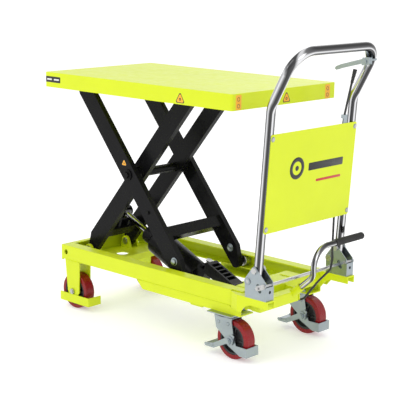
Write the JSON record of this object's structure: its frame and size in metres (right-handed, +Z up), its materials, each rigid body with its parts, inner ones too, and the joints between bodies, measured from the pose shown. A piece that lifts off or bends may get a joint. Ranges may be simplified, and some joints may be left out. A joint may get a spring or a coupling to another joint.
{
  "type": "scissor lift table",
  "caption": "Mobile scissor lift table with a pressed platform on crossed arms, a foot-pumped ram, a push handle, two fixed wheels and two braked casters.",
  "frame": {"origin": "middle of the bounding box, at floor level", "axes": "+X towards the push handle, +Y to the far side (left when standing at the handle facing the platform is -Y), +Z up"},
  "size_m": [1.06, 0.5, 0.977],
  "materials": {
    "green_paint": "gloss",
    "black_paint": "satin",
    "zinc_plate": "satin",
    "bare_steel": "satin",
    "chrome": "mirror",
    "red_tread": "satin",
    "black_plastic": "matte",
    "black_rubber": "matte",
    "black_iron": "matte"
  },
  "bodies": {
    "base": {"base_rail_near": "green_paint", "base_rail_far": "green_paint", "side_plates": "green_paint", "rear_cross_member": "green_paint", "base_lugs": "green_paint", "base_pivot_pins": "bare_steel", "front_cross_member": "green_paint", "horns": "green_paint", "pump_mount": "green_paint", "fixed_forks": "green_paint", "fixed_axles": "bare_steel", "caster_plates": "zinc_plate", "handle_bracket_near": "zinc_plate", "handle_bracket_far": "zinc_plate", "bracket_bolts": "bare_steel", "lower_cable": "black_plastic"},
    "inner_frame": {"inner_arm_near": "black_paint", "inner_arm_far": "black_paint", "centre_pins": "bare_steel", "centre_tube": "black_paint", "eye_crosshead": "black_paint"},
    "outer_frame": {"outer_arm_near": "black_paint", "outer_arm_far": "black_paint", "outer_cross_tube": "black_paint"},
    "platform": {"platform_tray": "green_paint", "platform_underframe": "green_paint", "upper_pivot_pins": "bare_steel"},
    "lower_rollers": {"lower_rollers": "bare_steel"},
    "upper_rollers": {"upper_rollers": "bare_steel"},
    "pump": {"cylinder_tube": "black_paint", "oil_tank": "black_paint", "pump_block": "black_paint"},
    "ram": {"piston_rod": "chrome"},
    "plunger": {"pump_plunger": "bare_steel"},
    "valve": {"release_valve": "zinc_plate"},
    "handle": {"handle_tube": "chrome", "handle_panel": "green_paint", "panel_screws": "bare_steel", "lever_bracket": "zinc_plate", "upper_cable": "black_plastic", "cable_boot": "black_rubber", "cable_clamp": "zinc_plate"},
    "hand_lever": {"hand_lever": "zinc_plate"},
    "latch": {"latch_bar": "bare_steel"},
    "pedal": {"pedal_beam": "green_paint", "pedal_tube": "chrome", "pedal_grip": "black_rubber"},
    "fixed_wheel_near": {"fixed_tread_near": "red_tread", "fixed_hub_near": "black_iron"},
    "caster_near": {"caster_fork_near": "zinc_plate"},
    "caster_wheel_near": {"caster_tread_near": "red_tread", "caster_hub_near": "black_iron"},
    "brake_near": {"brake_pedal_near": "zinc_plate"},
    "fixed_wheel_far": {"fixed_tread_far": "red_tread", "fixed_hub_far": "black_iron"},
    "caster_far": {"caster_fork_far": "zinc_plate"},
    "caster_wheel_far": {"caster_tread_far": "red_tread", "caster_hub_far": "black_iron"},
    "brake_far": {"brake_pedal_far": "zinc_plate"}
  },
  "joints": [
    {"name": "lift", "type": "hinge", "parent": "base", "child": "inner_frame", "pos_m": [-0.471, 0, 0.1953], "axis": [0, -1, 0], "range_deg": [-41.9, 9.3]},
    {"name": "arm_cross", "type": "hinge", "parent": "inner_frame", "child": "outer_frame", "pos_m": [-0.23009, 0, 0.502], "axis": [0, -1, 0], "range_deg": [-18.7, 83.9]},
    {"name": "platform_level", "type": "hinge", "parent": "outer_frame", "child": "platform", "pos_m": [-0.471, 0, 0.8087], "axis": [0, -1, 0], "range_deg": [-42, 9.4]},
    {"name": "lower_roller_spin", "type": "hinge", "parent": "outer_frame", "child": "lower_rollers", "pos_m": [0.01081, 0, 0.1953], "axis": [0, 1, 0], "continuous": true},
    {"name": "upper_roller_spin", "type": "hinge", "parent": "inner_frame", "child": "upper_rollers", "pos_m": [0.01081, 0, 0.8087], "axis": [0, 1, 0], "continuous": true},
    {"name": "pump_tilt", "type": "hinge", "parent": "base", "child": "pump", "pos_m": [0.135, 0, 0.16], "axis": [0, -1, 0], "range_deg": [-0.9, 3.9]},
    {"name": "ram_stroke", "type": "slide", "parent": "pump", "child": "ram", "axis": [-0.9121, 0, 0.4099], "range_m": [-0.0955, 0.0215]},
    {"name": "handle_fold", "type": "hinge", "parent": "base", "child": "handle", "pos_m": [0.39321, 0, 0.3066], "axis": [0, -1, 0], "range_deg": [0, 10]},
    {"name": "lever_squeeze", "type": "hinge", "parent": "handle", "child": "hand_lever", "pos_m": [0.507, 0.15, 0.915], "axis": [0, 1, 0], "range_deg": [0, 16], "stiffness_Nm_per_rad": 1.5, "springref_deg": -8.59},
    {"name": "valve_turn", "type": "hinge", "parent": "pump", "child": "valve", "pos_m": [-0.02323, 0.036, 0.17097], "axis": [0, 1, 0], "range_deg": [0, 16.5]},
    {"name": "latch_swing", "type": "hinge", "parent": "base", "child": "latch", "pos_m": [0.431, 0, 0.265], "axis": [0, -1, 0], "range_deg": [-12, 20], "stiffness_Nm_per_rad": 8},
    {"name": "pedal_press", "type": "hinge", "parent": "base", "child": "pedal", "pos_m": [0.367, 0, 0.182], "axis": [0, 1, 0], "range_deg": [0, 28], "stiffness_Nm_per_rad": 20, "springref_deg": -14.32},
    {"name": "plunger_stroke", "type": "slide", "parent": "pump", "child": "plunger", "axis": [-0.4099, 0, -0.9121], "range_m": [0, 0.0105]},
    {"name": "fixed_wheel_near_spin", "type": "hinge", "parent": "base", "child": "fixed_wheel_near", "pos_m": [-0.455, -0.173, 0.0625], "axis": [0, 1, 0], "continuous": true},
    {"name": "caster_near_swivel", "type": "hinge", "parent": "base", "child": "caster_near", "pos_m": [0.254, -0.18, 0.131], "axis": [0, 0, 1], "continuous": true},
    {"name": "caster_wheel_near_spin", "type": "hinge", "parent": "caster_near", "child": "caster_wheel_near", "pos_m": [0.292, -0.18, 0.0625], "axis": [0, 1, 0], "continuous": true},
    {"name": "brake_near_press", "type": "hinge", "parent": "caster_near", "child": "brake_near", "pos_m": [0.292, -0.18, 0.0625], "axis": [0, -1, 0], "range_deg": [0, 8]},
    {"name": "fixed_wheel_far_spin", "type": "hinge", "parent": "base", "child": "fixed_wheel_far", "pos_m": [-0.455, 0.173, 0.0625], "axis": [0, 1, 0], "continuous": true},
    {"name": "caster_far_swivel", "type": "hinge", "parent": "base", "child": "caster_far", "pos_m": [0.254, 0.18, 0.131], "axis": [0, 0, 1], "continuous": true},
    {"name": "caster_wheel_far_spin", "type": "hinge", "parent": "caster_far", "child": "caster_wheel_far", "pos_m": [0.292, 0.18, 0.0625], "axis": [0, 1, 0], "continuous": true},
    {"name": "brake_far_press", "type": "hinge", "parent": "caster_far", "child": "brake_far", "pos_m": [0.292, 0.18, 0.0625], "axis": [0, -1, 0], "range_deg": [0, 8]}
  ],
  "couplings": [
    {"joint": "arm_cross", "follows": "lift", "ratio": -2},
    {"joint": "platform_level", "follows": "lift", "ratio": 1},
    {"joint": "pump_tilt", "follows": "lift", "ratio": -0.092},
    {"joint": "ram_stroke", "follows": "lift", "m_per_rad": 0.13},
    {"joint": "plunger_stroke", "follows": "pedal_press", "m_per_rad": 0.02},
    {"joint": "valve_turn", "follows": "lever_squeeze", "ratio": 1}
  ]
}
